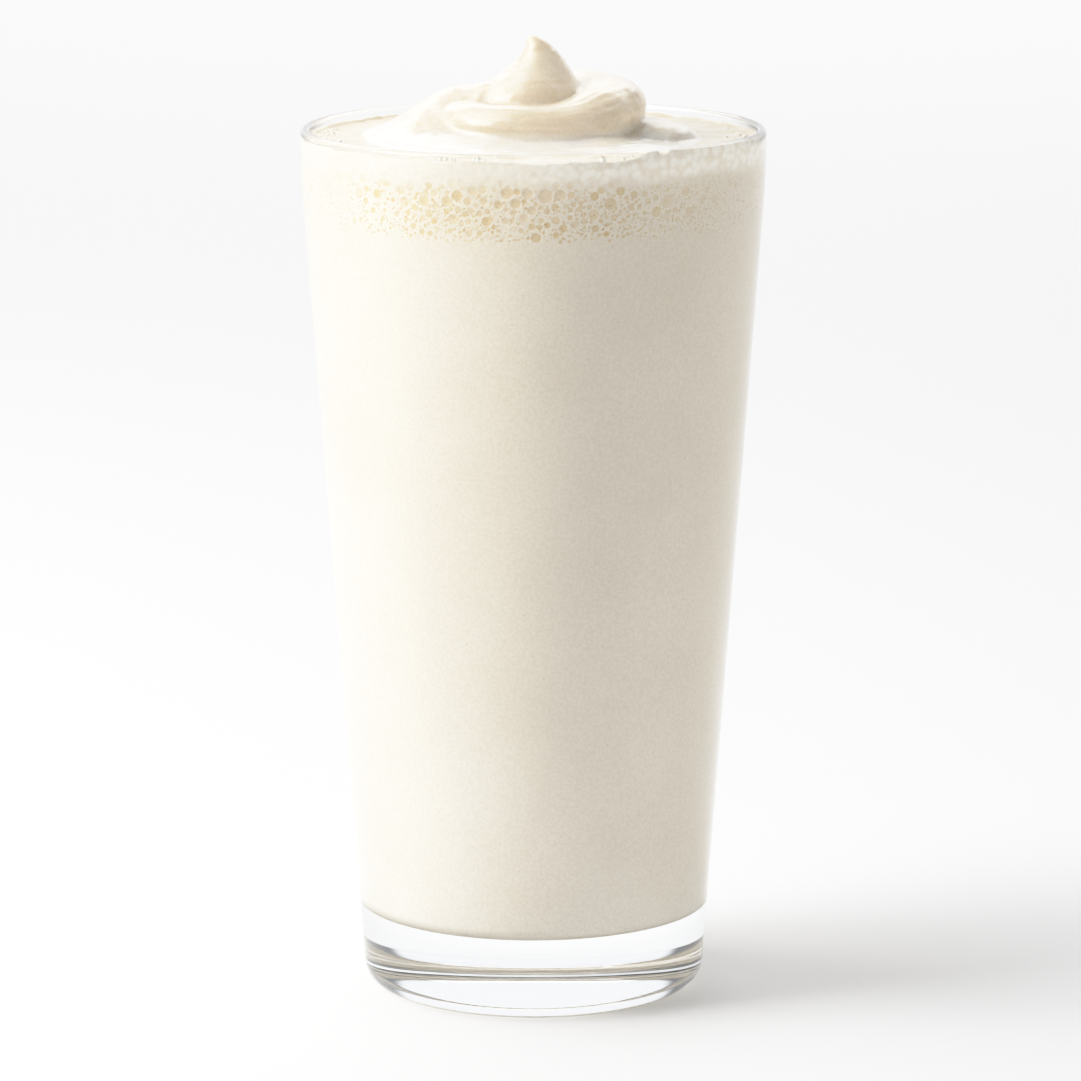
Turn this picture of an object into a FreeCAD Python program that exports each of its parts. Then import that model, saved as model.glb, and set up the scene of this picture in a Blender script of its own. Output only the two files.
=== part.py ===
"""Vanilla milkshake in a tall flared tumbler.

Four pieces, each a closed solid:
  glass      the heavy-based tumbler, turned about the upright axis
  milkshake  the drink that fills the glass up to the froth
  froth      the bubbly layer that floats on the drink and reaches the glass all round
  swirl      the soft coiled mound with a leaning peak that lies on the froth

The origin is on the glass's axis, at the surface that it stands on.
Millimetres, +Z up, the front of the swirl towards -Y.
"""
import FreeCAD, Part
import math
import os

os.makedirs("parts", exist_ok=True)

Vector = FreeCAD.Vector

# ---------------------------------------------------------------- driving dimensions
# The tumbler.
GLASS_HEIGHT = 160.0       # table to the top of the lip
MOUTH_RADIUS = 42.4        # outside of the wall at the lip
BASE_RADIUS = 31.25        # outside of the wall, carried straight down to the table
WALL = 1.9                 # thickness of the wall, which the lip rounds over
LIP_STRAIGHT = 15.0        # height over which the flare eases to upright below the lip
BASE_THICKNESS = 15.4      # clear glass under the drink
HEEL_RADIUS = 4.4          # rounding between the wall and the underside
FLOOR_RADIUS = 2.4         # rounding between the cavity's floor and its wall
FOOT_RING = 2.0            # width of the flat ring that the glass stands on
PUNT_RISE = 1.3            # height of the hollow under the base, on the axis

# The drink and its froth.
FIT = 0.1                  # clearance between the contents and the glass
LEVEL_BELOW_RIM = 2.0      # lip down to the flat top of the froth
FROTH_DEPTH = 13.0         # thickness of the bubbly layer
CLING = 0.8                # height that the froth climbs where it meets the glass

# The swirl's outline on the froth: how far it reaches each way from its axis.
SPREAD_SIDE = 31.0         # to the left and right
SPREAD_FRONT = 27.5        # to the front and back
APRON_HEIGHT = 2.2         # thickness of the soft skirt round the coil

# The coil, whose ridge climbs as it goes round.
COIL_RADIUS = 13.8         # axis to the ridge of the coil
COIL_BULGE = 6.4           # ridge out to the widest part of the coil
COIL_HIGH = 11.8           # ridge above the froth where it is highest
COIL_LOW = 6.2             # ridge above the froth where it is lowest
COIL_HIGH_ANGLE = 40.0     # direction of the highest ridge, from +X towards +Y
FOLD_TUCK = 1.6            # how far the crease under the coil tucks back under it
TROUGH_DEPTH = 1.6         # ridge down to the trough round the peak

# The peak.
PEAK_HEIGHT = 18.7         # tip above the froth
PEAK_FOOT_RADIUS = 9.4     # where the peak rises out of the trough
PEAK_LEAN = 1.2            # how far the peak's waist stands to the right of its foot
PEAK_HOOK = 1.6            # how far the tip bends back to the left of the waist

POINTS_ROUND = 32          # points on each closed curve of the swirl

# Shares that give the swirl's sections their soft outline.
# Apron: share of its height in from the outline, then share of its height up.
APRON_SECTION = [(0.0, 0.0), (0.9, 0.62), (3.2, 1.0)]
# Coil above the crease: share of the bulge out from the ridge, then share of the ridge's rise.
COIL_SECTION = [(1.0, 0.30), (0.84, 0.72), (0.32, 0.98), (-0.22, 1.0)]
CREASE_RISE = 0.08         # height of the crease above the apron, as a share of the ridge's rise
# Peak: share of its rise, share of its foot's radius, share of the lean, share of the hook.
PEAK_SECTION = [
    (0.16, 0.77, 0.0, 0.0),
    (0.36, 0.50, 0.8, 0.0),
    (0.62, 0.29, 1.0, 0.0),
    (0.85, 0.17, 1.0, 0.5),
    (0.95, 0.12, 1.0, 0.8),
    (1.00, 0.05, 1.0, 1.0),
]


# ---------------------------------------------------------------- the tumbler's outline
MOUTH_Z = GLASS_HEIGHT - WALL / 2


def tumbler_flare():
    """Slope of the straight wall, as an angle from upright.

    The wall runs straight up from the base and is then bent to upright by an arc
    LIP_STRAIGHT high, which ends at MOUTH_RADIUS.
    """
    straight_height = MOUTH_Z - LIP_STRAIGHT
    low = 0.0
    high = math.radians(45)
    for _ in range(60):
        middle = (low + high) / 2
        bend = LIP_STRAIGHT / math.sin(middle)
        reached = BASE_RADIUS + straight_height * math.tan(middle) + bend * (1 - math.cos(middle))
        if reached < MOUTH_RADIUS:
            low = middle
        else:
            high = middle
    return (low + high) / 2


FLARE = tumbler_flare()
BEND_RADIUS = LIP_STRAIGHT / math.sin(FLARE)


def bend_height(inset):
    """Height at which the wall starts to bend upright, `inset` inside its outer face."""
    return MOUTH_Z - (BEND_RADIUS - inset) * math.sin(FLARE)


def wall_radius(height, inset):
    """Radius of the wall at a height, `inset` inside its outer face."""
    if height <= bend_height(inset):
        return BASE_RADIUS + height * math.tan(FLARE) - inset / math.cos(FLARE)
    bend = BEND_RADIUS - inset
    below_mouth = MOUTH_Z - height
    return MOUTH_RADIUS - BEND_RADIUS + math.sqrt(bend ** 2 - below_mouth ** 2)


def in_section(radius, height):
    """A point of the half outline that is turned about the axis."""
    return Vector(radius, 0, height)


def straight(start, end):
    return Part.makeLine(start, end)


def arc(start, through, end):
    return Part.Arc(start, through, end).toShape()


def rounded_corner(corner_radius, corner_height, size):
    """Arc that rounds the corner between a flat face and the flared wall above it.

    Returns the arc's end on the flat, its middle and its end on the wall.
    """
    half_angle = (math.pi / 2 + FLARE) / 2
    run = size / math.tan(half_angle)
    on_flat = in_section(corner_radius - run, corner_height)
    on_wall = in_section(corner_radius + run * math.sin(FLARE), corner_height + run * math.cos(FLARE))
    centre = in_section(corner_radius - run, corner_height + size)
    corner = in_section(corner_radius, corner_height)
    middle = centre + (corner - centre).normalize() * size
    return on_flat, middle, on_wall


def bent_wall(inset, bottom, top):
    """Edge of the bent stretch of the wall between two levels, and the edge's two ends."""
    levels = [bottom, (bottom + top) / 2, top]
    start, through, end = [in_section(wall_radius(level, inset), level) for level in levels]
    return arc(start, through, end), start, end


def turned(edges):
    """Solid made by turning a closed half outline about the axis."""
    face = Part.Face(Part.Wire(edges))
    return face.revolve(Vector(0, 0, 0), Vector(0, 0, 1), 360)


# ---------------------------------------------------------------- the glass
def make_glass():
    """Tumbler with a thick base, a rounded heel, a hollow underside and a round lip."""
    heel_flat, heel_middle, heel_wall = rounded_corner(BASE_RADIUS, 0, HEEL_RADIUS)
    ring_inside = in_section(heel_flat.x - FOOT_RING, 0)
    punt_top = in_section(0, PUNT_RISE)
    punt_sphere = (ring_inside.x ** 2 + PUNT_RISE ** 2) / (2 * PUNT_RISE)
    punt_side = ring_inside.x / 2
    punt_drop = punt_sphere - math.sqrt(punt_sphere ** 2 - punt_side ** 2)
    punt_middle = in_section(punt_side, PUNT_RISE - punt_drop)

    outside, outside_start, outside_end = bent_wall(0, bend_height(0), MOUTH_Z)
    inside, inside_start, inside_end = bent_wall(WALL, bend_height(WALL), MOUTH_Z)
    lip_top = in_section(MOUTH_RADIUS - WALL / 2, GLASS_HEIGHT)

    floor_corner = wall_radius(BASE_THICKNESS, WALL)
    floor_flat, floor_middle, floor_wall = rounded_corner(floor_corner, BASE_THICKNESS, FLOOR_RADIUS)
    floor_centre = in_section(0, BASE_THICKNESS)

    return turned([
        arc(punt_top, punt_middle, ring_inside),
        straight(ring_inside, heel_flat),
        arc(heel_flat, heel_middle, heel_wall),
        straight(heel_wall, outside_start),
        outside,
        arc(outside_end, lip_top, inside_end),
        inside,
        straight(inside_start, floor_wall),
        arc(floor_wall, floor_middle, floor_flat),
        straight(floor_flat, floor_centre),
        straight(floor_centre, punt_top),
    ])


# ---------------------------------------------------------------- the drink
CONTENTS_INSET = WALL + FIT
FROTH_TOP = GLASS_HEIGHT - LEVEL_BELOW_RIM
FROTH_BOTTOM = FROTH_TOP - FROTH_DEPTH


def side_edges(bottom, top):
    """Edges of the contents' side between two levels, bent where the glass bends."""
    bend = bend_height(CONTENTS_INSET)
    start = in_section(wall_radius(bottom, CONTENTS_INSET), bottom)
    if top <= bend:
        return [straight(start, in_section(wall_radius(top, CONTENTS_INSET), top))]
    edge, edge_start, _ = bent_wall(CONTENTS_INSET, max(bottom, bend), top)
    if bottom >= bend:
        return [edge]
    return [straight(start, edge_start), edge]


def make_milkshake():
    """Drink from the cavity's floor up to the underside of the froth."""
    corner = wall_radius(BASE_THICKNESS, CONTENTS_INSET)
    on_floor, middle, on_wall = rounded_corner(corner, BASE_THICKNESS, FLOOR_RADIUS - FIT)
    top_edge = in_section(wall_radius(FROTH_BOTTOM, CONTENTS_INSET), FROTH_BOTTOM)
    top_centre = in_section(0, FROTH_BOTTOM)
    floor_centre = in_section(0, BASE_THICKNESS)
    return turned(
        [straight(floor_centre, on_floor), arc(on_floor, middle, on_wall)]
        + side_edges(on_wall.z, FROTH_BOTTOM)
        + [straight(top_edge, top_centre), straight(top_centre, floor_centre)]
    )


# ---------------------------------------------------------------- the froth
def make_froth():
    """Bubbly layer whose edge climbs the glass in a small hollow curve."""
    bottom_centre = in_section(0, FROTH_BOTTOM)
    bottom_edge = in_section(wall_radius(FROTH_BOTTOM, CONTENTS_INSET), FROTH_BOTTOM)
    cling_top = FROTH_TOP + CLING
    cling_wall = in_section(wall_radius(cling_top, CONTENTS_INSET), cling_top)
    cling_run = 2 * CLING
    cling_foot = in_section(cling_wall.x - cling_run, FROTH_TOP)
    cling_middle = in_section(cling_wall.x - 0.4 * cling_run, FROTH_TOP + 0.26 * CLING)
    top_centre = in_section(0, FROTH_TOP)
    return turned(
        [straight(bottom_centre, bottom_edge)]
        + side_edges(FROTH_BOTTOM, cling_top)
        + [
            arc(cling_wall, cling_middle, cling_foot),
            straight(cling_foot, top_centre),
            straight(top_centre, bottom_centre),
        ]
    )


# ---------------------------------------------------------------- the swirl
def between(low, high, angle, high_angle):
    """A size that swings smoothly from `high` at high_angle to `low` opposite it."""
    return (low + high) / 2 + (high - low) / 2 * math.cos(angle - math.radians(high_angle))


def ridge_height(angle):
    return between(COIL_LOW, COIL_HIGH, angle, COIL_HIGH_ANGLE)


def spread(angle):
    """Reach of the apron, which is longer to the sides than to the front and back."""
    side = (SPREAD_SIDE - SPREAD_FRONT) / 2
    return (SPREAD_SIDE + SPREAD_FRONT) / 2 + side * math.cos(2 * angle)


def ring(radius_at, height_at, shift=0.0):
    """Closed smooth curve round the swirl's axis, moved `shift` to the right."""
    points = []
    for index in range(POINTS_ROUND):
        angle = 2 * math.pi * index / POINTS_ROUND
        radius = radius_at(angle)
        points.append(Vector(
            radius * math.cos(angle) + shift,
            radius * math.sin(angle),
            FROTH_TOP + height_at(angle),
        ))
    curve = Part.BSplineCurve()
    curve.interpolate(Points=points, PeriodicFlag=True)
    return Part.Wire(curve.toShape())


def apron_rings():
    """Soft skirt, from its outline on the froth up to its top."""
    rings = []
    for inwards, upwards in APRON_SECTION:
        rings.append(ring(lambda a: spread(a) - inwards * APRON_HEIGHT, lambda a: upwards * APRON_HEIGHT))
    return rings


def coil_rings():
    """Crease, bulge, ridge and trough, from the outside inwards."""
    def above_apron(angle, share):
        return APRON_HEIGHT + share * (ridge_height(angle) - APRON_HEIGHT)

    crease_radius = COIL_RADIUS + COIL_BULGE - FOLD_TUCK
    rings = [ring(lambda a: crease_radius, lambda a: above_apron(a, CREASE_RISE))]
    for outwards, upwards in COIL_SECTION:
        radius = COIL_RADIUS + outwards * COIL_BULGE
        rings.append(ring(lambda a: radius, lambda a: above_apron(a, upwards)))
    rings.append(ring(lambda a: PEAK_FOOT_RADIUS, lambda a: ridge_height(a) - TROUGH_DEPTH))
    return rings


def peak_rings():
    """Level rings of the peak, from just above its foot to the blunt tip."""
    foot = COIL_HIGH - TROUGH_DEPTH
    rise = PEAK_HEIGHT - foot
    rings = []
    for up, narrow, lean, hook in PEAK_SECTION:
        height = foot + up * rise
        radius = narrow * PEAK_FOOT_RADIUS
        shift = lean * PEAK_LEAN - hook * PEAK_HOOK
        rings.append(ring(lambda a: radius, lambda a: height, shift))
    return rings


def make_swirl():
    """Soft mound that spirals up from its apron to a small leaning peak."""
    return Part.makeLoft(apron_rings() + coil_rings() + peak_rings(), True, False)


# ---------------------------------------------------------------- output
PIECES = {
    "glass": make_glass,
    "milkshake": make_milkshake,
    "froth": make_froth,
    "swirl": make_swirl,
}

for name, make in PIECES.items():
    shape = make()
    if not shape.isValid() or len(shape.Solids) != 1:
        raise SystemExit(name + " isn't one sound solid")
    shape.exportStep("parts/" + name + ".step")
    box = shape.BoundBox
    print(name, round(shape.Volume), "mm3", round(box.ZMin, 2), round(box.ZMax, 2))
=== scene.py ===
import math
import random

import bmesh
import bpy
from mathutils import Matrix, Vector, noise


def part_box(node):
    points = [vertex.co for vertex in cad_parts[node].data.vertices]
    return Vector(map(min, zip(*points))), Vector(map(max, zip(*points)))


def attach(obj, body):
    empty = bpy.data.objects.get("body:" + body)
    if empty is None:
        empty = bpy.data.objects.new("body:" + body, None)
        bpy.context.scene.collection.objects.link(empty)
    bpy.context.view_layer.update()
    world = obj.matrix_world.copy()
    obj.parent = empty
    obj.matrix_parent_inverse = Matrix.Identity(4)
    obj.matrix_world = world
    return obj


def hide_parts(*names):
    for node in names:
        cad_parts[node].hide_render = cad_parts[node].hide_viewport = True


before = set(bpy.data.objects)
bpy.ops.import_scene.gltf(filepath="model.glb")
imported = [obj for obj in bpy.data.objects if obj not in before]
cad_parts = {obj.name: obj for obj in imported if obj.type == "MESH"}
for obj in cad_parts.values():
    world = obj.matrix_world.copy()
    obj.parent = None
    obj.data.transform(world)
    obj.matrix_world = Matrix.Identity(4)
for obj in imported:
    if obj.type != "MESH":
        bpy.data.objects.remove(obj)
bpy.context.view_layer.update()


# ------------------------------------------------------------------ the tumbler
# A tall flared glass of clear soda-lime. It is blown in a mould with a thick base
# and a hollow underside, and the lip and the heel are melted round with a flame.

MM = 0.001

glass_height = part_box("glass")[1].z
mouth_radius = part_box("glass")[1].x
floor_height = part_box("milkshake")[0].z
base_radius = 31.25 * MM
wall = 1.9 * MM
lip_straight = 15.0 * MM
heel_radius = 4.4 * MM
floor_round = 2.4 * MM
foot_ring = 2.0 * MM
punt_rise = 1.3 * MM
tumbler_steps = 224
glass_tone = (0.985, 0.995, 0.99, 1)
# Painted shade: near-black on the lip where it is seen edge-on.
lip_edge_painted_shade = (0.06, 0.065, 0.07, 1)
thick_base_tint = (0.83, 0.845, 0.87, 1)

mouth_height = glass_height - wall / 2
flare = math.atan((mouth_radius - base_radius) / (mouth_height - lip_straight / 2))
bend_radius = lip_straight / math.sin(flare)


def wall_radius(height, inset):
    """Radius of the tumbler's wall at a height, so far inside its outer face."""
    if height <= mouth_height - (bend_radius - inset) * math.sin(flare):
        return base_radius + height * math.tan(flare) - inset / math.cos(flare)
    below_mouth = mouth_height - height
    bend = bend_radius - inset
    return mouth_radius - bend_radius + math.sqrt(bend ** 2 - below_mouth ** 2)


def arc(centre, radius, start, end, steps):
    """Points of a round stretch of an outline, between two angles in degrees."""
    points = []
    for step in range(steps + 1):
        angle = math.radians(start + (end - start) * step / steps)
        points.append((centre[0] + radius * math.cos(angle), centre[1] + radius * math.sin(angle)))
    return points


def wall_run(inset, low, high, steps):
    """Points up or down the wall between two heights, ends included."""
    heights = [low + (high - low) * step / steps for step in range(steps + 1)]
    return [(wall_radius(height, inset), height) for height in heights]


def heel_arc(inset, height, radius, steps):
    """Rounded corner between a level face at this height and the wall above it."""
    reach = wall_radius(height, inset) - radius / math.tan(math.pi / 4 + flare / 2)
    return arc((reach, height + radius), radius, -90, -math.degrees(flare), steps)


def finished(name, bm):
    """Smooth-shaded object made from a bmesh, at the origin."""
    mesh = bpy.data.meshes.new(name)
    bm.to_mesh(mesh)
    bm.free()
    mesh.shade_smooth()
    piece = bpy.data.objects.new(name, mesh)
    bpy.context.scene.collection.objects.link(piece)
    return piece


def turned(outline, steps):
    """Closed skin made by turning an outline of (radius, height) points about the axis."""
    bm = bmesh.new()
    verts = [bm.verts.new((radius, 0, height)) for radius, height in outline]
    edges = [bm.edges.new(pair) for pair in zip(verts, verts[1:])]
    bmesh.ops.spin(bm, geom=verts + edges, cent=(0, 0, 0), axis=(0, 0, 1),
                   angle=math.pi / 4, steps=steps // 8)
    for turn in (math.pi / 4, math.pi / 2, math.pi):
        copy = bmesh.ops.duplicate(bm, geom=bm.verts[:] + bm.edges[:] + bm.faces[:])["geom"]
        copied = [part for part in copy if isinstance(part, bmesh.types.BMVert)]
        bmesh.ops.rotate(bm, cent=(0, 0, 0), matrix=Matrix.Rotation(turn, 3, "Z"), verts=copied)
    bmesh.ops.remove_doubles(bm, verts=bm.verts, dist=0.002 * MM)
    bmesh.ops.recalc_face_normals(bm, faces=bm.faces)
    return bm


def tumbler_outline():
    heel = heel_arc(0, 0, heel_radius, 14)
    ring_inside = heel[0][0] - foot_ring
    punt_sphere = (ring_inside ** 2 + punt_rise ** 2) / (2 * punt_rise)
    punt_angle = math.degrees(math.asin(ring_inside / punt_sphere))
    punt = arc((0, punt_rise - punt_sphere), punt_sphere, 90, 90 - punt_angle, 24)
    outside = wall_run(0, heel[-1][1], mouth_height, 40)
    lip = arc((mouth_radius - wall / 2, mouth_height), wall / 2, 0, 180, 14)
    corner = heel_arc(wall, floor_height, floor_round, 10)
    inside = wall_run(wall, mouth_height, corner[-1][1], 40)
    level = [(0, floor_height)]
    return punt + heel + outside[1:] + lip[1:] + inside[1:] + corner[-2::-1] + level


def new_material(name):
    """A plain material, and the parts of it that the looks are joined to."""
    material = bpy.data.materials.new(name)
    material.use_nodes = True
    nodes = material.node_tree.nodes
    return material, nodes, material.node_tree.links, nodes["Principled BSDF"]


def map_range(nodes, links, source, low, high, start, end):
    """Node that turns one stretch of a value smoothly into another."""
    node = nodes.new("ShaderNodeMapRange")
    node.interpolation_type = "SMOOTHSTEP"
    node.inputs["From Min"].default_value = low
    node.inputs["From Max"].default_value = high
    node.inputs["To Min"].default_value = start
    node.inputs["To Max"].default_value = end
    links.new(source, node.inputs["Value"])
    return node.outputs["Result"]


def product(nodes, links, first, second):
    """Two values multiplied together."""
    node = nodes.new("ShaderNodeMath")
    node.operation = "MULTIPLY"
    links.new(first, node.inputs[0])
    links.new(second, node.inputs[1])
    return node.outputs["Value"]


def tinted(nodes, links, colour, tint, mask):
    """Colour multiplied by a tint as far as the mask lets it."""
    node = nodes.new("ShaderNodeMix")
    node.data_type = "RGBA"
    node.blend_type = "MULTIPLY"
    node.inputs["B"].default_value = tint
    links.new(mask, node.inputs["Factor"])
    links.new(colour, node.inputs["A"])
    return node.outputs["Result"]


def clear_glass():
    """Polished clear glass, whose skin waves a little as a blown wall does."""
    material, nodes, links, shader = new_material("clear_glass")
    shader.inputs["Roughness"].default_value = 0.0
    shader.inputs["IOR"].default_value = 1.5
    shader.inputs["Transmission Weight"].default_value = 1.0

    place = nodes.new("ShaderNodeTexCoord")
    waves = nodes.new("ShaderNodeTexNoise")
    waves.inputs["Scale"].default_value = 60
    waves.inputs["Detail"].default_value = 1
    links.new(place.outputs["Object"], waves.inputs["Vector"])
    bump = nodes.new("ShaderNodeBump")
    bump.inputs["Strength"].default_value = 0.25
    bump.inputs["Distance"].default_value = 0.04 * MM
    links.new(waves.outputs["Fac"], bump.inputs["Height"])
    links.new(bump.outputs["Normal"], shader.inputs["Normal"])

    # Along the edge of the rounded lip a line of sight runs far through the glass and darkens a little; the
    # near-black tint where the lip is seen edge-on is painted shade.
    axes = nodes.new("ShaderNodeSeparateXYZ")
    links.new(place.outputs["Object"], axes.inputs["Vector"])
    lip = map_range(nodes, links, axes.outputs["Z"],
                    mouth_height - 1.0 * MM, mouth_height + 0.1 * MM, 0.0, 1.0)
    edge = nodes.new("ShaderNodeLayerWeight")
    grazed = map_range(nodes, links, edge.outputs["Facing"], 0.5, 0.85, 0.0, 1.0)
    clear = nodes.new("ShaderNodeRGB")
    clear.outputs["Color"].default_value = glass_tone
    colour = tinted(nodes, links, clear.outputs["Color"], lip_edge_painted_shade,
                    product(nodes, links, lip, grazed))

    # A line of sight runs far through the thick base too, which tints it.
    thick = map_range(nodes, links, axes.outputs["Z"], floor_height - 2.5 * MM, floor_height, 1.0, 0.0)
    links.new(tinted(nodes, links, colour, thick_base_tint, thick), shader.inputs["Base Color"])

    # Lamps shine through the wall onto what it holds.
    passing = nodes.new("ShaderNodeBsdfTransparent")
    passing.inputs["Color"].default_value = (0.99, 0.995, 0.99, 1)
    rays = nodes.new("ShaderNodeLightPath")
    mix = nodes.new("ShaderNodeMixShader")
    links.new(rays.outputs["Is Shadow Ray"], mix.inputs["Fac"])
    links.new(shader.outputs["BSDF"], mix.inputs[1])
    links.new(passing.outputs["BSDF"], mix.inputs[2])
    links.new(mix.outputs["Shader"], nodes["Material Output"].inputs["Surface"])
    return material


tumbler = finished("tumbler", turned(tumbler_outline(), tumbler_steps))
tumbler.data.materials.append(clear_glass())
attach(tumbler, "root")
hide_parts("glass")


# ------------------------------------------------------------------ the milkshake
# Ice cream and milk blended to a thick, even, ivory drink, with a froth beaten into
# its top. It wets the whole wall, so it is seen through the glass with no air between.

wetting = 0.15 * MM
froth_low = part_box("froth")[0].z
froth_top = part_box("swirl")[0].z
cream_tone = (0.855, 0.783, 0.665, 1)
drink_steps = 840

# Colours that the ivory is multiplied by, and that of the milky film over it.
# Painted light, whiter towards the drink's foot:
foot_bounce_light_tint = (1.07, 1.085, 1.12, 1)
# Painted shade along the drink's bottom corner:
corner_shade_tint = (0.8, 0.76, 0.68, 1)
speck_tint = (0.76, 0.62, 0.4, 1)
# Painted shade in the bubbles' hollows:
bubble_hollow_shade_tint = (0.86, 0.73, 0.49, 1)
bubble_rim_tint = (1.05, 1.06, 1.08, 1)
# Painted shadow of the swirl on the froth's top:
swirl_shadow_tint = (0.82, 0.84, 0.87, 1)
# Partly the froth's own tone, partly painted shade, by the wall:
wall_tone_and_shade_tint = (0.88, 0.84, 0.77, 1)
# Painted light in front of the swirl:
front_light_tint = (1.09, 1.12, 1.18, 1)
fold_tint = (0.9, 0.86, 0.77, 1)
brim_tint = (0.9, 0.87, 0.82, 1)
film_tone = (1.0, 0.957, 0.88, 1)
film_gap_tint = (0.86, 0.82, 0.75, 1)


def varied(place, size, seed):
    """Smooth chance value from -1 to 1 at a place, with lumps of about this size."""
    return noise.noise(Vector(place) / size + Vector((seed, -seed, 2 * seed)))


def surface_rise(x, y):
    """Height of the froth's uneven top over its level."""
    lumps = 0.3 * MM * varied((x, y, 0), 5 * MM, 3) + 0.13 * MM * varied((x, y, 0), 1.8 * MM, 8)
    return lumps + 0.04 * MM * varied((x, y, 0), 0.7 * MM, 5)


def cling_rise(direction):
    """How far the froth has crept up the wall over its level, in this direction."""
    ring = (math.cos(direction), math.sin(direction), 0)
    wavy = 0.45 * MM + 0.38 * MM * varied(ring, 0.16, 2) + 0.2 * MM * varied(ring, 0.05, 6)
    away = math.degrees(abs(math.atan2(math.sin(direction + 0.55), math.cos(direction + 0.55))))
    film = 1.15 * MM * max(0, 1 - (away / 38) ** 2)
    return max(0.1 * MM, wavy) + film


def drink_outline():
    inset = wall - wetting
    corner = heel_arc(inset, floor_height - wetting, floor_round, 7)
    low_run = wall_run(inset, corner[-1][1], froth_low - 3 * MM, 12)
    froth_run = wall_run(inset, froth_low - 3 * MM, froth_top + 0.4 * MM, 60)
    edge = wall_radius(froth_top, inset)
    brim = [(edge - 0.15 * MM, froth_top + 0.35 * MM), (edge - 0.5 * MM, froth_top + 0.12 * MM)]
    top = [(edge - 0.9 * MM - step * 0.62 * MM, froth_top) for step in range(29)]
    return ([(0, floor_height - wetting)] + corner + low_run[1:] + froth_run[1:]
            + brim + top + [(0, froth_top - 1 * MM)])


# Bubbles against the glass, over the whole way round: how many, their radius from
# and to in millimetres, the middle of their heights and how far they stray from it.
bubble_sizes = [
    (12, 1.05, 1.3, 152.0, 1.3),
    (110, 0.68, 1.0, 151.8, 2.0),
    (420, 0.40, 0.66, 151.2, 2.5),
    (1500, 0.20, 0.38, 149.8, 3.1),
]
# Where they crowd: the middle of each stretch and its spread, in radians from +X.
bubble_crowds = ((4.72, 0.62), (2.9, 0.45), (1.3, 0.62))
bubble_web = 0.06 * MM
bubble_press = 0.12 * MM


class BubbleBand:
    """Bubbles of the froth that never overlap, found again by the place they cover."""

    cell = 2.0 * MM

    def __init__(self, seed):
        self.dice = random.Random(seed)
        self.around = 2 * math.pi * wall_radius(150 * MM, wall)
        self.cells = {}
        for count, smallest, largest, middle, stray in bubble_sizes:
            for _ in range(count):
                self.place(smallest * MM, largest * MM, middle * MM, stray * MM)

    def near(self, along, height):
        column = int(along / self.cell)
        row = int(height / self.cell)
        last = int(self.around / self.cell)
        found = []
        for step in (-1, 0, 1):
            for rise in (-1, 0, 1):
                found += self.cells.get(((column + step) % (last + 1), row + rise), [])
        return found

    def gap(self, bubble, along, height):
        across = abs(bubble[0] - along)
        across = min(across, self.around - across)
        return math.hypot(across, bubble[1] - height) - bubble[2]

    def place(self, smallest, largest, middle, stray):
        radius = self.dice.uniform(smallest, largest)
        for _ in range(45):
            along = self.dice.uniform(0, self.around)
            height = self.dice.gauss(middle, stray)
            if height > froth_top - 1.2 * MM or height < froth_low - 0.5 * MM:
                continue
            crowd = 0.06 + 0.45 * varied((along, height, 0), 9 * MM, 4)
            direction = 2 * math.pi * along / self.around
            for crowd_middle, spread in bubble_crowds:
                crowd += 0.95 * math.exp(-((direction - crowd_middle) / spread) ** 2)
            if self.dice.random() > crowd:
                continue
            room = radius + bubble_web
            if all(self.gap(other, along, height) > room for other in self.near(along, height)):
                cell = (int(along / self.cell), int(height / self.cell))
                self.cells.setdefault(cell, []).append((along, height, radius, self.dice.random()))
                return

    def read(self, direction, height):
        """Distance outside the nearest bubble's edge, its radius, and its own chance number."""
        along = (direction % (2 * math.pi)) / (2 * math.pi) * self.around
        best = (1.0 * MM, 0.0, 0.5)
        for bubble in self.near(along, height):
            gap = self.gap(bubble, along, height)
            if gap < best[0]:
                best = (gap, bubble[2], bubble[3])
        return best


def shape_drink(bm):
    """Presses the bubbles into the drink's side and makes its top uneven.

    Each point keeps how far it is from a bubble's edge, that bubble's chance number,
    whether it is at the wall, and how close to the wall it is on the froth's top.
    """
    band = BubbleBand(11)
    rim_gap = bm.verts.layers.float.new("bubble_gap")
    chance = bm.verts.layers.float.new("bubble_chance")
    at_wall = bm.verts.layers.float.new("at_wall")
    wall_ring = bm.verts.layers.float.new("wall_ring")
    edge = wall_radius(froth_top, wall - wetting)
    for vert in bm.verts:
        radius = math.hypot(vert.co.x, vert.co.y)
        vert[rim_gap] = 1.0
        on_wall = (vert.co.z < froth_top - 2 * MM
                   or radius > wall_radius(vert.co.z, wall - wetting) - 0.02 * MM)
        vert[at_wall] = 1.0 if on_wall else 0.0
        if vert.co.z < froth_low - 3 * MM or radius < 20 * MM:
            continue
        direction = math.atan2(vert.co.y, vert.co.x)
        if on_wall:
            gap, size, number = band.read(direction, vert.co.z)
            vert[rim_gap] = gap / MM
            vert[chance] = number
            press = 0.13 * math.sqrt(max(0, size ** 2 - (size + gap) ** 2)) if gap < 0 else 0
            press = min(press, bubble_press)
            share = max(0, (vert.co.z - froth_top + 1.6 * MM) / (2.0 * MM))
            height = vert.co.z + share * (cling_rise(direction) - 0.4 * MM)
            place = wall_radius(height, wall - wetting) - press
        else:
            share = math.exp(-((edge - radius) / (0.8 * MM)) ** 2)
            height = vert.co.z + share * (cling_rise(direction) - 0.4 * MM)
            height += surface_rise(vert.co.x, vert.co.y) * (1 - share)
            vert[wall_ring] = math.exp(-((edge - radius) / (4.5 * MM)) ** 2)
            place = radius
        vert.co = (place * math.cos(direction), place * math.sin(direction), height)


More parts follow.
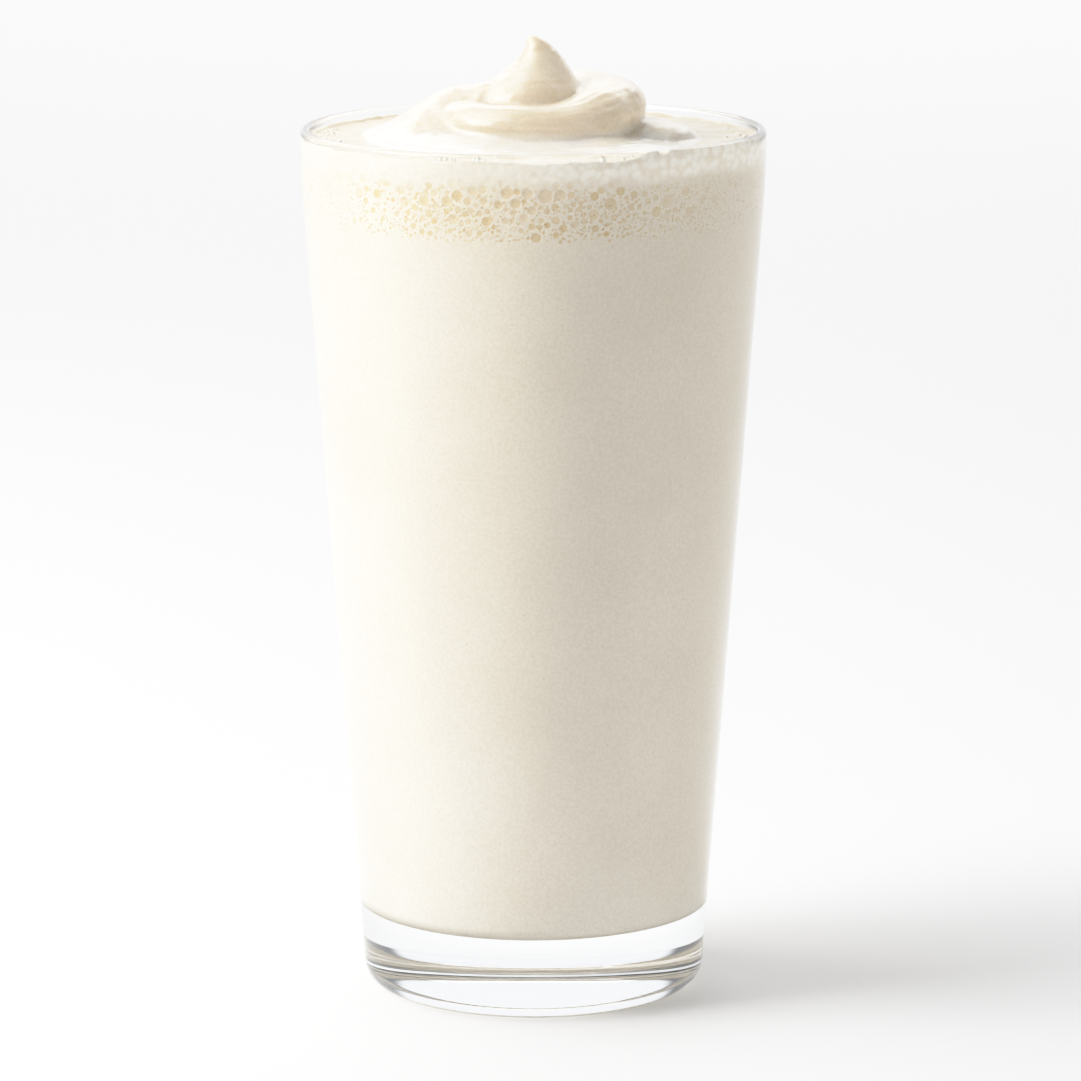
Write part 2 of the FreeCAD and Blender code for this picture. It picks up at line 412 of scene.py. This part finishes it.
def cream_group():
    """Faint clouds, a fine grain and sparse tiny pits, as every part of the drink has."""
    group = bpy.data.node_groups.new("cream", "ShaderNodeTree")
    group.interface.new_socket("Tone", in_out="INPUT", socket_type="NodeSocketColor")
    group.interface.new_socket("Pits", in_out="INPUT", socket_type="NodeSocketFloat")
    group.interface.new_socket("Colour", in_out="OUTPUT", socket_type="NodeSocketColor")
    group.interface.new_socket("Height", in_out="OUTPUT", socket_type="NodeSocketFloat")
    nodes, links = group.nodes, group.links
    inlet = nodes.new("NodeGroupInput")
    outlet = nodes.new("NodeGroupOutput")
    place = nodes.new("ShaderNodeTexCoord")

    clouds = nodes.new("ShaderNodeTexNoise")
    clouds.inputs["Scale"].default_value = 45
    clouds.inputs["Detail"].default_value = 4
    links.new(place.outputs["Object"], clouds.inputs["Vector"])
    cloudy = tinted(nodes, links, inlet.outputs["Tone"], (0.95, 0.94, 0.92, 1),
                    map_range(nodes, links, clouds.outputs["Fac"], 0.3, 0.7, 1.0, 0.0))

    grain = nodes.new("ShaderNodeTexNoise")
    grain.inputs["Scale"].default_value = 1900
    grain.inputs["Detail"].default_value = 2
    links.new(place.outputs["Object"], grain.inputs["Vector"])
    grainy = tinted(nodes, links, cloudy, (0.93, 0.92, 0.89, 1),
                    map_range(nodes, links, grain.outputs["Fac"], 0.35, 0.65, 1.0, 0.0))

    pits = nodes.new("ShaderNodeTexVoronoi")
    pits.inputs["Scale"].default_value = 520
    links.new(place.outputs["Object"], pits.inputs["Vector"])
    spot = map_range(nodes, links, pits.outputs["Distance"], 0.08, 0.15, 1.0, 0.0)
    pit = product(nodes, links, spot, inlet.outputs["Pits"])
    links.new(tinted(nodes, links, grainy, (0.8, 0.7, 0.52, 1), pit), outlet.inputs["Colour"])
    sunk = nodes.new("ShaderNodeMath")
    sunk.operation = "SUBTRACT"
    links.new(grain.outputs["Fac"], sunk.inputs[0])
    links.new(pit, sunk.inputs[1])
    links.new(sunk.outputs["Value"], outlet.inputs["Height"])
    return group


cream = cream_group()


def add_cream(nodes, tone, pits):
    mix = nodes.new("ShaderNodeGroup")
    mix.node_tree = cream
    mix.inputs["Tone"].default_value = tone
    mix.inputs["Pits"].default_value = pits
    return mix


def streak_group():
    """Whiter and darker streaks, drawn out as the shake was folded, as a mask."""
    group = bpy.data.node_groups.new("streaks", "ShaderNodeTree")
    group.interface.new_socket("Amount", in_out="INPUT", socket_type="NodeSocketFloat")
    group.interface.new_socket("Mask", in_out="OUTPUT", socket_type="NodeSocketFloat")
    nodes, links = group.nodes, group.links
    inlet = nodes.new("NodeGroupInput")
    outlet = nodes.new("NodeGroupOutput")
    place = nodes.new("ShaderNodeTexCoord")
    drawn = nodes.new("ShaderNodeMapping")
    drawn.inputs["Scale"].default_value = (0.55, 1.5, 1.3)
    links.new(place.outputs["Object"], drawn.inputs["Vector"])
    folds = nodes.new("ShaderNodeTexNoise")
    folds.inputs["Scale"].default_value = 210
    folds.inputs["Detail"].default_value = 3
    folds.inputs["Distortion"].default_value = 1.2
    links.new(drawn.outputs["Vector"], folds.inputs["Vector"])
    mask = map_range(nodes, links, folds.outputs["Fac"], 0.42, 0.66, 0.0, 1.0)
    links.new(product(nodes, links, mask, inlet.outputs["Amount"]), outlet.inputs["Mask"])
    return group


streaks = streak_group()


def add_streaks(nodes, amount):
    mix = nodes.new("ShaderNodeGroup")
    mix.node_tree = streaks
    mix.inputs["Amount"].default_value = amount
    return mix


def drink_material():
    material, nodes, links, shader = new_material("milkshake_and_froth")
    shader.inputs["Roughness"].default_value = 0.4
    shader.inputs["IOR"].default_value = 1.35
    shader.inputs["Specular IOR Level"].default_value = 0.35
    mix = add_cream(nodes, cream_tone, 0.3)
    place = nodes.new("ShaderNodeTexCoord")
    axes = nodes.new("ShaderNodeSeparateXYZ")
    links.new(place.outputs["Object"], axes.inputs["Vector"])
    height = axes.outputs["Z"]

    # Painted light makes the drink a little whiter towards its foot, for light thrown up by the table, and
    # painted shade darkens it along its very edge in the bottom corner.
    colour = tinted(nodes, links, mix.outputs["Colour"], foot_bounce_light_tint,
                    map_range(nodes, links, height, 135 * MM, 10 * MM, 0.0, 1.0))
    colour = tinted(nodes, links, colour, corner_shade_tint,
                    map_range(nodes, links, height, floor_height, floor_height + 0.9 * MM, 1.0, 0.0))

    # The finest froth is a haze of specks, thickest below the round bubbles.
    rise = map_range(nodes, links, height, froth_top - 15.4 * MM, froth_top - 11.0 * MM, 0.0, 1.0)
    fall = map_range(nodes, links, height, froth_top - 8.5 * MM, froth_top - 3.0 * MM, 1.0, 0.15)
    fine_zone = product(nodes, links, rise, fall)
    for scale, reach in ((900, 0.2), (1500, 0.26)):
        specks = nodes.new("ShaderNodeTexVoronoi")
        specks.inputs["Scale"].default_value = scale
        links.new(place.outputs["Object"], specks.inputs["Vector"])
        spot = map_range(nodes, links, specks.outputs["Distance"], reach * 0.7, reach, 0.85, 0.0)
        colour = tinted(nodes, links, colour, speck_tint, product(nodes, links, spot, fine_zone))

    # Round bubbles: an ochre disc, painted shade for the hollow seen through the glass, with a thin pale
    # rim, veiled by a milky film above.
    gap = nodes.new("ShaderNodeAttribute")
    gap.attribute_name = "bubble_gap"
    chance = nodes.new("ShaderNodeAttribute")
    chance.attribute_name = "bubble_chance"
    film = nodes.new("ShaderNodeTexNoise")
    film.inputs["Scale"].default_value = 130
    film.inputs["Detail"].default_value = 3
    links.new(place.outputs["Object"], film.inputs["Vector"])
    veil_line = nodes.new("ShaderNodeMath")
    veil_line.operation = "MULTIPLY_ADD"
    veil_line.inputs[1].default_value = 5.0 * MM
    links.new(film.outputs["Fac"], veil_line.inputs[0])
    links.new(height, veil_line.inputs[2])
    veiling = veil_line.outputs["Value"]
    unveiled = map_range(nodes, links, veiling, froth_top - 2.4 * MM, froth_top - 0.2 * MM, 1.0, 0.12)
    disc = map_range(nodes, links, gap.outputs["Fac"], -0.07, 0.04, 1.0, 0.0)
    strength = map_range(nodes, links, chance.outputs["Fac"], 0.0, 1.0, 0.6, 1.0)
    faded = product(nodes, links, map_range(nodes, links, axes.outputs["X"], 10 * MM, 32 * MM, 1.0, 0.45),
                    map_range(nodes, links, axes.outputs["X"], -38 * MM, -27 * MM, 0.2, 1.0))
    shown = product(nodes, links, product(nodes, links, disc, unveiled),
                    product(nodes, links, strength, faded))
    colour = tinted(nodes, links, colour, bubble_hollow_shade_tint, shown)
    outside = map_range(nodes, links, gap.outputs["Fac"], 0.02, 0.06, 0.0, 1.0)
    inside = map_range(nodes, links, gap.outputs["Fac"], 0.08, 0.16, 1.0, 0.0)
    colour = tinted(nodes, links, colour, bubble_rim_tint,
                    product(nodes, links, product(nodes, links, outside, inside), unveiled))

    # Painted shadow: the froth's top is greyer on the right, where the swirl shades it.
    wall_side = nodes.new("ShaderNodeAttribute")
    wall_side.attribute_name = "at_wall"
    inner = map_range(nodes, links, wall_side.outputs["Fac"], 0.0, 1.0, 1.0, 0.0)
    shaded_right = map_range(nodes, links, axes.outputs["X"], 8 * MM, 30 * MM, 0.0, 1.0)
    colour = tinted(nodes, links, colour, swirl_shadow_tint, product(nodes, links, inner, shaded_right))

    # It is darker by the wall, partly its own tone and partly painted shade, and painted light whitens its
    # top in front of the swirl.
    ring = nodes.new("ShaderNodeAttribute")
    ring.attribute_name = "wall_ring"
    colour = tinted(nodes, links, colour, wall_tone_and_shade_tint, ring.outputs["Fac"])
    fore = map_range(nodes, links, axes.outputs["Y"], -14 * MM, -24 * MM, 0.0, 1.0)
    colour = tinted(nodes, links, colour, front_light_tint, product(nodes, links, inner, fore))
    folded = add_streaks(nodes, 1.0).outputs["Mask"]
    colour = tinted(nodes, links, colour, fold_tint, product(nodes, links, inner, folded))

    # A milky film of finest foam whitens the top of the side, most on the right.
    brim = map_range(nodes, links, height, froth_top - 0.1 * MM, froth_top + 0.5 * MM, 0.0, 1.0)
    colour = tinted(nodes, links, colour, brim_tint,
                    product(nodes, links, wall_side.outputs["Fac"], brim))
    thick = map_range(nodes, links, axes.outputs["X"], -14 * MM, 12 * MM, 0.25, 1.0)
    milky = product(nodes, links, product(nodes, links, wall_side.outputs["Fac"], thick),
                    map_range(nodes, links, veiling, froth_top - 2.0 * MM, froth_top + 1.2 * MM, 0.0, 0.95))
    filmed = nodes.new("ShaderNodeMix")
    filmed.data_type = "RGBA"
    filmed.inputs["B"].default_value = film_tone
    links.new(milky, filmed.inputs["Factor"])
    links.new(colour, filmed.inputs["A"])
    foamy = nodes.new("ShaderNodeTexVoronoi")
    foamy.inputs["Scale"].default_value = 780
    links.new(place.outputs["Object"], foamy.inputs["Vector"])
    between = map_range(nodes, links, foamy.outputs["Distance"], 0.3, 0.85, 0.0, 1.0)
    links.new(tinted(nodes, links, filmed.outputs["Result"], film_gap_tint,
                     product(nodes, links, milky, between)), shader.inputs["Base Color"])

    bump = nodes.new("ShaderNodeBump")
    bump.inputs["Strength"].default_value = 0.25
    bump.inputs["Distance"].default_value = 0.05 * MM
    links.new(mix.outputs["Height"], bump.inputs["Height"])
    links.new(bump.outputs["Normal"], shader.inputs["Normal"])
    return material


def make_drink():
    bm = turned(drink_outline(), drink_steps)
    shape_drink(bm)
    bmesh.ops.recalc_face_normals(bm, faces=bm.faces)
    return finished("milkshake_and_froth", bm)


drink = make_drink()
drink.data.materials.append(drink_material())
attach(drink, "root")
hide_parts("milkshake", "froth")


# ------------------------------------------------------------------ the foam bubbles
# Clumps of small glossy bubbles, left standing on the froth near the wall. They are
# round skins of shake, each sunk to half its depth in the froth.

foam_tone = (0.88, 0.84, 0.76, 1)
foam_count = 170
foam_clumps = (3.05, 3.3, 0.1, 1.2, 2.2, 4.4, 5.2, 5.6)
foam_clear_of_wall = 1.3 * MM


def make_foam():
    """Sets the small bubbles out in clumps, each of them under a millimetre across."""
    dice = random.Random(5)
    ball = bmesh.new()
    bmesh.ops.create_uvsphere(ball, u_segments=14, v_segments=9, radius=1.0)
    mesh = bpy.data.meshes.new("ball")
    ball.to_mesh(mesh)
    ball.free()
    bm = bmesh.new()
    for _ in range(foam_count):
        direction = dice.choice(foam_clumps) + dice.gauss(0, 0.13)
        radius = dice.uniform(0.12, 0.42) * MM
        reach = wall_radius(froth_top, wall) - abs(dice.gauss(0, 1.6)) * MM - foam_clear_of_wall
        place = Matrix.Translation((reach * math.cos(direction), reach * math.sin(direction), froth_top))
        one = mesh.copy()
        one.transform(place @ Matrix.Scale(radius, 4))
        bm.from_mesh(one)
        bpy.data.meshes.remove(one)
    bpy.data.meshes.remove(mesh)
    return finished("foam_bubbles", bm)


def foam_material():
    material, nodes, links, shader = new_material("foam_bubbles")
    shader.inputs["Roughness"].default_value = 0.12
    shader.inputs["IOR"].default_value = 1.35
    shader.inputs["Specular IOR Level"].default_value = 0.8
    shader.inputs["Coat Weight"].default_value = 1.0
    shader.inputs["Coat Roughness"].default_value = 0.05
    mix = add_cream(nodes, foam_tone, 0.0)
    links.new(mix.outputs["Colour"], shader.inputs["Base Color"])
    return material


foam = make_foam()
foam.data.materials.append(foam_material())
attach(foam, "root")


# ------------------------------------------------------------------ the swirl
# Thick shake spooned on last: one soft coil that climbs round to the right and is
# drawn up to a small leaning peak. Its left side has slumped out over the froth.

swirl_tone = (0.815, 0.715, 0.565, 1)
thin_foot_tint = (1.1, 1.19, 1.39, 1)
swirl_fold_tint = (0.9, 0.86, 0.78, 1)
# Painted shade on the swirl's right side and its tongue:
right_side_shade_tint = (0.92, 0.91, 0.89, 1)
tongue_shade_tint = (0.86, 0.88, 0.9, 1)
voxel = 0.36 * MM

# The coil, as it is piped: direction from +X in degrees, distance from the axis,
# height over the froth, half width and half height, all in millimetres.
coil_route = [
    (-190, 13.0, 3.6, 5.2, 3.6),
    (-150, 13.2, 3.4, 5.2, 3.9),
    (-110, 12.9, 3.1, 5.3, 4.2),
    (-75, 12.9, 3.2, 5.5, 4.2),
    (-45, 13.3, 4.3, 6.2, 4.5),
    (0, 13.7, 6.0, 6.9, 5.0),
    (45, 12.8, 6.2, 6.5, 5.0),
    (90, 11.4, 5.8, 5.6, 4.7),
    (135, 10.2, 5.6, 4.8, 4.2),
    (170, 9.0, 5.0, 4.0, 3.6),
]
# The peak: height over the froth, lean to the right, half width.
peak_route = [
    (-1.0, -0.5, 11.0),
    (4.0, -0.5, 10.4),
    (8.4, -0.3, 9.3),
    (10.5, 0.0, 7.8),
    (13.2, 1.1, 5.2),
    (15.7, 1.3, 3.2),
    (17.6, 0.5, 1.9),
    (18.7, -0.1, 0.95),
]
# Soft hills under and round the coil: centre to the right and to the back, reach to
# the right and to the back, and height, all in millimetres.
hills = [
    (-12.5, 1.5, 12.5, 12.0, 9.9),
    (3.0, 2.0, 15.0, 13.0, 5.0),
    (-4.0, -9.0, 21.0, 13.5, 3.1),
    (10.0, -12.0, 14.0, 11.0, 2.0),
    (-7.8, -2.5, 5.6, 5.5, 9.8),
]


def hill_rise(x, y):
    """Height of the slumped shake over the froth's level at a place."""
    total = 0.0
    for right, back, wide, deep, height in hills:
        fall = math.exp(-((x / MM - right) / wide) ** 2 - ((y / MM - back) / deep) ** 2)
        total += (height * fall) ** 4
    return MM * total ** 0.25


def smooth_between(stations, share):
    """Numbers of a route at a share of its length, eased through each station."""
    spot = share * (len(stations) - 1)
    index = min(int(spot), len(stations) - 2)
    t = spot - index
    before = stations[max(index - 1, 0)]
    after = stations[min(index + 2, len(stations) - 1)]
    result = []
    for a, b, c, d in zip(before, stations[index], stations[index + 1], after):
        result.append(0.5 * (2 * b + (c - a) * t + (2 * a - 5 * b + 4 * c - d) * t ** 2
                             + (3 * b - a - 3 * c + d) * t ** 3))
    return result


def piped(rings, segments):
    """Closed lump bridged through rings, each a placing matrix for a unit circle."""
    bm = bmesh.new()
    loops = []
    for place in rings:
        made = bmesh.ops.create_circle(bm, segments=segments, radius=1.0, matrix=place)["verts"]
        loops.append([vert.link_edges[0] for vert in made] + [vert.link_edges[1] for vert in made])
    loops = [list(set(loop)) for loop in loops]
    for first, second in zip(loops, loops[1:]):
        bmesh.ops.bridge_loops(bm, edges=first + second)
    for loop in (loops[0], loops[-1]):
        bmesh.ops.contextual_create(bm, geom=loop)
    bmesh.ops.recalc_face_normals(bm, faces=bm.faces)
    return bm


def coil_lump():
    rings = []
    for step in range(73):
        angle, reach, height, across, upright = smooth_between(coil_route, step / 72)
        turn = math.radians(angle)
        centre = Vector((reach * math.cos(turn), reach * math.sin(turn), height)) * MM
        centre.z += froth_top
        stand = Matrix.Rotation(turn, 4, "Z") @ Matrix.Rotation(math.pi / 2, 4, "X")
        size = Matrix.Diagonal((across * MM, upright * MM, 1, 1))
        rings.append(Matrix.Translation(centre) @ stand @ size)
    return piped(rings, 32)


def peak_lump():
    rings = []
    for step in range(41):
        height, lean, half = smooth_between(peak_route, step / 40)
        centre = Vector((lean * MM, 0, froth_top + height * MM))
        rings.append(Matrix.Translation(centre) @ Matrix.Diagonal((half * MM, half * MM, 1, 1)))
    return piped(rings, 32)


def tongue_lump():
    """The end of the coil's skirt, which has slid out to the right."""
    bm = bmesh.new()
    place = Matrix.Translation((19.6 * MM, -1.5 * MM, froth_top - 0.2 * MM)) @ Matrix.Diagonal(
        (10.4 * MM, 9.6 * MM, 4.0 * MM, 1))
    bmesh.ops.create_uvsphere(bm, u_segments=48, v_segments=24, radius=1.0, matrix=place)
    return bm


def slumped_lump():
    """A low lens of shake whose top follows the hills."""
    reach = 31 * MM
    rows = 60
    low = froth_top - 2 * MM
    outline = [(reach * row / rows, froth_top) for row in range(rows + 1)]
    bm = turned(outline + [(reach, low), (0, low)], 160)
    for vert in bm.verts:
        if vert.co.z > low + 0.1 * MM:
            vert.co.z = froth_top - 0.3 * MM + hill_rise(vert.co.x, vert.co.y)
    return bm


def swirl_material():
    material, nodes, links, shader = new_material("swirl")
    shader.inputs["Roughness"].default_value = 0.36
    shader.inputs["IOR"].default_value = 1.35
    shader.inputs["Coat Weight"].default_value = 0.65
    shader.inputs["Coat Roughness"].default_value = 0.22
    shader.inputs["Subsurface Weight"].default_value = 0.8
    shader.inputs["Subsurface Radius"].default_value = (1.0, 0.8, 0.55)
    shader.inputs["Subsurface Scale"].default_value = 1.6 * MM
    mix = add_cream(nodes, swirl_tone, 0.35)
    place = nodes.new("ShaderNodeTexCoord")
    axes = nodes.new("ShaderNodeSeparateXYZ")
    links.new(place.outputs["Object"], axes.inputs["Vector"])

    # The thin foot is whiter and folded shake shows as streaks; the greyer right side and tongue are
    # painted shade.
    foot = map_range(nodes, links, axes.outputs["Z"], froth_top + 1.0 * MM, froth_top + 3.6 * MM, 1.0, 0.0)
    colour = tinted(nodes, links, mix.outputs["Colour"], thin_foot_tint, foot)
    colour = tinted(nodes, links, colour, swirl_fold_tint, add_streaks(nodes, 0.6).outputs["Mask"])
    low = map_range(nodes, links, axes.outputs["Z"], froth_top + 3.0 * MM, froth_top + 5.0 * MM, 1.0, 0.0)
    shaded_right = map_range(nodes, links, axes.outputs["X"], 12 * MM, 20 * MM, 0.0, 1.0)
    side = map_range(nodes, links, axes.outputs["X"], 5 * MM, 15 * MM, 0.0, 1.0)
    colour = tinted(nodes, links, colour, right_side_shade_tint, side)
    links.new(tinted(nodes, links, colour, tongue_shade_tint, product(nodes, links, low, shaded_right)),
              shader.inputs["Base Color"])
    bump = nodes.new("ShaderNodeBump")
    bump.inputs["Strength"].default_value = 0.35
    bump.inputs["Distance"].default_value = 0.08 * MM
    links.new(mix.outputs["Height"], bump.inputs["Height"])
    links.new(bump.outputs["Normal"], shader.inputs["Normal"])
    return material


def make_swirl():
    bm = bmesh.new()
    for lump in (coil_lump(), peak_lump(), tongue_lump(), slumped_lump()):
        mesh = bpy.data.meshes.new("lump")
        lump.to_mesh(mesh)
        lump.free()
        bm.from_mesh(mesh)
        bpy.data.meshes.remove(mesh)
    piece = finished("swirl_body", bm)
    blend = piece.modifiers.new("blend", "REMESH")
    blend.mode = "VOXEL"
    blend.voxel_size = voxel
    soften = piece.modifiers.new("soften", "SMOOTH")
    soften.factor = 0.6
    soften.iterations = 16
    graph = bpy.context.evaluated_depsgraph_get()
    mesh = bpy.data.meshes.new_from_object(piece.evaluated_get(graph))
    piece.modifiers.clear()
    piece.data = mesh
    bm = bmesh.new()
    bm.from_mesh(mesh)
    bmesh.ops.bisect_plane(bm, geom=bm.verts[:] + bm.edges[:] + bm.faces[:],
                           plane_co=(0, 0, froth_top - 1 * MM), plane_no=(0, 0, 1), clear_inner=True)
    bm.normal_update()
    for vert in bm.verts:
        x, y, z = vert.co
        if z < froth_top - 0.9 * MM:
            continue
        lumps = 0.3 * MM * varied((x, y, z), 6 * MM, 7) + 0.08 * MM * varied((x, y, z), 1.9 * MM, 9)
        reach = math.hypot(x, y)
        along = 0.09 * reach * math.atan2(y, x)
        combed = 0.11 * MM * varied((reach, along, z), 0.95 * MM, 4)
        vert.co += vert.normal * (lumps + combed)
    bmesh.ops.contextual_create(bm, geom=[edge for edge in bm.edges if edge.is_boundary])
    bmesh.ops.recalc_face_normals(bm, faces=bm.faces)
    bm.to_mesh(mesh)
    bm.free()
    mesh.shade_smooth()
    return piece


swirl = make_swirl()
swirl.data.materials.append(swirl_material())
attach(swirl, "root")
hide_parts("swirl")


# ------------------------------------------------------------------ the studio
# A white table in a plain pale room, lit by a large diffuser and a smaller lamp close
# to the left, one weak lamp behind, and the room's own soft light low on the right.

dark_studio = (0.16, 0.17, 0.19, 1)
white_sweep = (1.45, 1.45, 1.5, 1)


def white_table():
    bm = bmesh.new()
    bmesh.ops.create_grid(bm, x_segments=1, y_segments=1, size=6.0)
    table = finished("table", bm)
    material, _, _, shader = new_material("white_table")
    shader.inputs["Base Color"].default_value = (0.98, 0.98, 0.985, 1)
    shader.inputs["Roughness"].default_value = 0.6
    shader.inputs["Specular IOR Level"].default_value = 0.2
    table.data.materials.append(material)


def white_room():
    """Lights the cream softly from the right, and shows itself as a plain pale room."""
    world = bpy.data.worlds.new("room")
    bpy.context.scene.world = world
    world.use_nodes = True
    nodes, links = world.node_tree.nodes, world.node_tree.links
    place = nodes.new("ShaderNodeTexCoord")
    axes = nodes.new("ShaderNodeSeparateXYZ")
    links.new(place.outputs["Generated"], axes.inputs["Vector"])
    right = nodes.new("ShaderNodeMapRange")
    right.inputs["To Max"].default_value = 2.7
    links.new(axes.outputs["X"], right.inputs["Value"])
    low = map_range(nodes, links, axes.outputs["Z"], 0.1, 0.75, 1.0, 0.15)
    low_right = product(nodes, links, right.outputs["Result"], low)
    front = nodes.new("ShaderNodeMapRange")
    front.inputs["From Max"].default_value = -1.0
    front.inputs["To Max"].default_value = 0.15
    links.new(axes.outputs["Y"], front.inputs["Value"])
    both = nodes.new("ShaderNodeMath")
    both.operation = "ADD"
    links.new(low_right, both.inputs[0])
    links.new(front.outputs["Result"], both.inputs[1])
    lighting = nodes["Background"]
    links.new(both.outputs["Value"], lighting.inputs["Color"])

    # The glass shows a white sweep in front and behind, between the studio's dark sides.
    sideways = nodes.new("ShaderNodeMath")
    sideways.operation = "ABSOLUTE"
    links.new(axes.outputs["X"], sideways.inputs[0])
    onward = nodes.new("ShaderNodeMath")
    onward.operation = "ABSOLUTE"
    links.new(axes.outputs["Y"], onward.inputs[0])
    bearing = nodes.new("ShaderNodeMath")
    bearing.operation = "ARCTAN2"
    links.new(sideways.outputs["Value"], bearing.inputs[0])
    links.new(onward.outputs["Value"], bearing.inputs[1])
    sweep = product(nodes, links, map_range(nodes, links, bearing.outputs["Value"], 0.64, 0.8, 1.0, 0.0),
                    map_range(nodes, links, axes.outputs["Z"], 0.4, 0.6, 1.0, 0.0))
    shades = nodes.new("ShaderNodeMix")
    shades.data_type = "RGBA"
    shades.inputs["A"].default_value = dark_studio
    shades.inputs["B"].default_value = white_sweep
    rays = nodes.new("ShaderNodeLightPath")
    bare = nodes.new("ShaderNodeMath")
    bare.operation = "MAXIMUM"
    links.new(sweep, bare.inputs[0])
    links.new(rays.outputs["Is Camera Ray"], bare.inputs[1])
    links.new(bare.outputs["Value"], shades.inputs["Factor"])
    walls = nodes.new("ShaderNodeBackground")
    links.new(shades.outputs["Result"], walls.inputs["Color"])

    # That room is only looked at. Light that the cream has scattered once never meets it.
    seen = nodes.new("ShaderNodeMath")
    seen.operation = "MAXIMUM"
    links.new(rays.outputs["Is Glossy Ray"], seen.inputs[0])
    links.new(rays.outputs["Is Transmission Ray"], seen.inputs[1])
    either = nodes.new("ShaderNodeMath")
    either.operation = "MAXIMUM"
    links.new(seen.outputs["Value"], either.inputs[0])
    links.new(rays.outputs["Is Camera Ray"], either.inputs[1])
    straight = nodes.new("ShaderNodeMath")
    straight.operation = "LESS_THAN"
    straight.inputs[1].default_value = 0.5
    links.new(rays.outputs["Diffuse Depth"], straight.inputs[0])
    shown = nodes.new("ShaderNodeMath")
    shown.operation = "MULTIPLY"
    links.new(either.outputs["Value"], shown.inputs[0])
    links.new(straight.outputs["Value"], shown.inputs[1])
    mix = nodes.new("ShaderNodeMixShader")
    links.new(shown.outputs["Value"], mix.inputs["Fac"])
    links.new(lighting.outputs["Background"], mix.inputs[1])
    links.new(walls.outputs["Background"], mix.inputs[2])
    links.new(mix.outputs["Shader"], nodes["World Output"].inputs["Surface"])


def diffuser(name, place, aim, width, height, power):
    """Hangs one flat lamp, its sides in metres and its power in watts."""
    light = bpy.data.lights.new(name, "AREA")
    light.shape = "RECTANGLE"
    light.size = width
    light.size_y = height
    light.energy = power
    lamp = bpy.data.objects.new(name, light)
    bpy.context.scene.collection.objects.link(lamp)
    lamp.location = place
    lamp.rotation_euler = (Vector(aim) - Vector(place)).to_track_quat("-Z", "Y").to_euler()


white_table()
white_room()
diffuser("left_diffuser", (-0.579, 0.0, 0.769), (0, 0, 0.08), 0.8, 0.8, 8.9)
diffuser("front_left_lamp", (-0.712, -0.191, 0.596), (0, 0, 0.08), 0.4, 0.4, 4.4)
diffuser("back_lamp", (0, 0.96, 1.23), (0, 0, 0.08), 1.2, 1.0, 0.45)
diffuser("table_light", (0, 2.0, 1.5), (0, 2.0, 0), 2.6, 1.6, 37.0)

view = bpy.context.scene.view_settings
view.view_transform = "Standard"
view.exposure = 0.08
view.use_curve_mapping = True
shoulder = view.curve_mapping
shoulder.white_level = (2, 2, 2)
for brightness, shown in ((0.25, 0.5), (0.5, 0.83), (0.75, 0.95)):
    shoulder.curves[3].points.new(brightness, shown)
shoulder.update()


# ------------------------------------------------------------------ the camera
# A long lens at table height, looking a little down on the glass.

camera = bpy.data.objects.new("camera", bpy.data.cameras.new("camera"))
bpy.context.scene.collection.objects.link(camera)
bpy.context.scene.camera = camera
camera.location = (0, -1.0075, 0.2817)
camera.rotation_euler = (math.radians(90 - 11.14), 0, math.radians(-0.073))
camera.data.sensor_width = 36
camera.data.lens = 185.4
